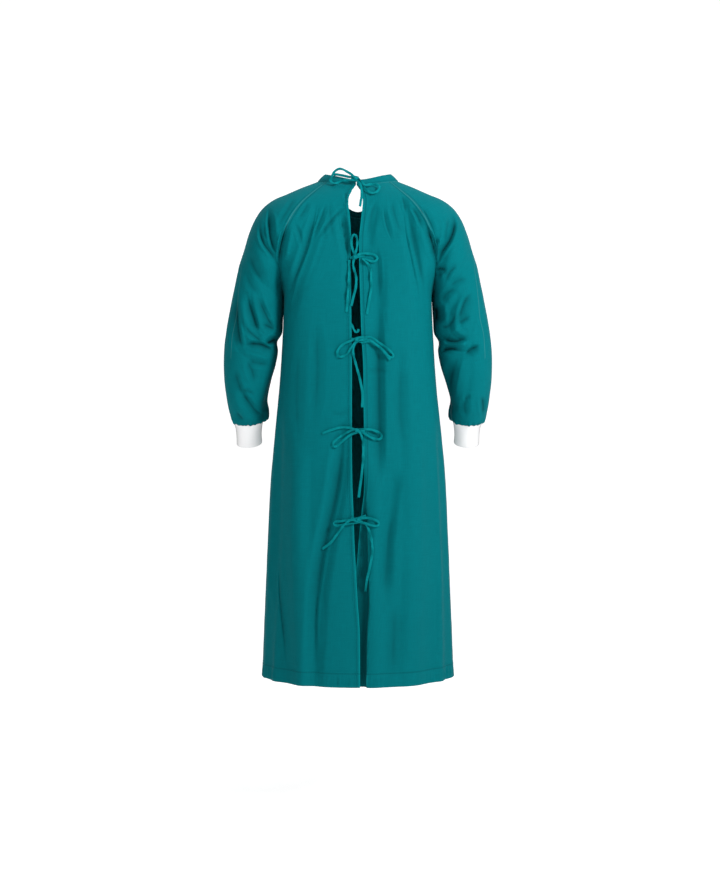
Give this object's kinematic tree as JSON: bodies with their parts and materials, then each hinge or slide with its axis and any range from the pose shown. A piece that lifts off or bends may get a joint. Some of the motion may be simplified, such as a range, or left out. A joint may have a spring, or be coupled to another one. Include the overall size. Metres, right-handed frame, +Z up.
{
  "type": "surgical gown",
  "caption": "Long-sleeved, back-opening surgical gown in its worn form: woven cloth panels, raglan sleeves, a narrow neck band, rib-knit cuffs and tape ties in bows.",
  "frame": {"origin": "middle of the neck opening, level with the shoulders, where the wearer holds the gown up", "axes": "+Z up; the back opening faces -Y and the front +Y; +X is the wearer's right"},
  "size_m": [0.654, 0.3825, 1.2293],
  "materials": {
    "gown_cloth": "matt woven poly-cotton, teal",
    "band_cloth": "the same woven cloth, double, as a narrow band",
    "rib_knit": "white rib-knit cotton",
    "tie_tape": "narrow woven tape, teal, slightly brighter than the cloth"
  },
  "bodies": {
    "root": {"front": "gown_cloth", "back_left": "gown_cloth", "back_right": "gown_cloth", "sleeve_left": "gown_cloth", "sleeve_right": "gown_cloth", "neck_band": "band_cloth", "cuff_left": "rib_knit", "cuff_right": "rib_knit", "tie_1_left": "tie_tape", "tie_1_right": "tie_tape", "tie_2_left": "tie_tape", "tie_2_right": "tie_tape", "tie_2_spare": "tie_tape", "tie_3_left": "tie_tape", "tie_3_right": "tie_tape", "tie_4_left": "tie_tape", "tie_4_right": "tie_tape", "tie_5_left": "tie_tape", "tie_5_right": "tie_tape", "inner_tie": "tie_tape"}
  },
  "joints": []
}
